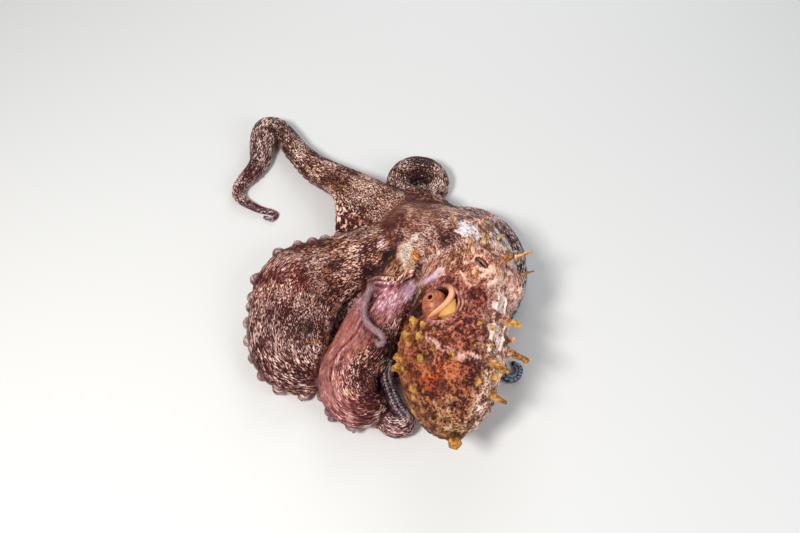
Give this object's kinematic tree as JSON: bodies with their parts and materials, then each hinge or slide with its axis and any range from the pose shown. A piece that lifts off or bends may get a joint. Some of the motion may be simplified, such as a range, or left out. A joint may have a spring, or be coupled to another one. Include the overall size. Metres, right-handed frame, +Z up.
{
  "type": "octopus",
  "caption": "Common octopus at rest, life size: mantle and head leaning back over coiled and spread arms, with webs, suckers, skin papillae, eyes and funnel.",
  "frame": {"origin": "middle of the oral disc, on the floor under the crown of arms", "axes": "+Z up; -Y the way the head and mantle lean back over the arms; -X the side of the broad second left arm"},
  "size_m": [0.2383, 0.3051, 0.096],
  "materials": {
    "skin_mantle": "wet mottled skin, orange brown with dark maroon network",
    "skin_head": "wet mottled skin, pinkish cream with maroon patches",
    "skin_arms": "wet skin, maroon brown with short cream streaks along the arm",
    "skin_web": "wet skin, maroon brown with radiating cream streaks",
    "funnel": "smooth wet orange-brown",
    "eye": "clear wet eye, red-brown iris with a black slit"
  },
  "bodies": {
    "root": {"mantle": "skin_mantle", "head": "skin_head", "crown": "skin_arms", "eye_left": "eye", "eye_right": "eye", "funnel": "funnel", "funnel_flap": "funnel", "funnel_lining": "funnel", "arm_l1_root": "skin_arms", "arm_l1_middle": "skin_arms", "arm_l1_bend": "skin_arms", "arm_l1_tip": "skin_arms", "arm_l2_root": "skin_arms", "arm_l2_lobe": "skin_arms", "arm_l2_return": "skin_arms", "arm_l2_tip": "skin_arms", "arm_l3_root": "skin_arms", "arm_l3_flank": "skin_arms", "arm_l3_hook": "skin_arms", "arm_l4_root": "skin_arms", "arm_l4_middle": "skin_arms", "arm_l4_hook": "skin_arms", "arm_r4_root": "skin_arms", "arm_r4_tip": "skin_arms", "arm_r3_root": "skin_arms", "arm_r3_middle": "skin_arms", "arm_r3_tip": "skin_arms", "arm_r2_root": "skin_arms", "arm_r2_middle": "skin_arms", "arm_r2_tip": "skin_arms", "arm_r1_root": "skin_arms", "arm_r1_coil": "skin_arms", "web_l1_l2": "skin_web", "web_l4_r4": "skin_web", "web_r3_r2": "skin_web"}
  },
  "joints": []
}
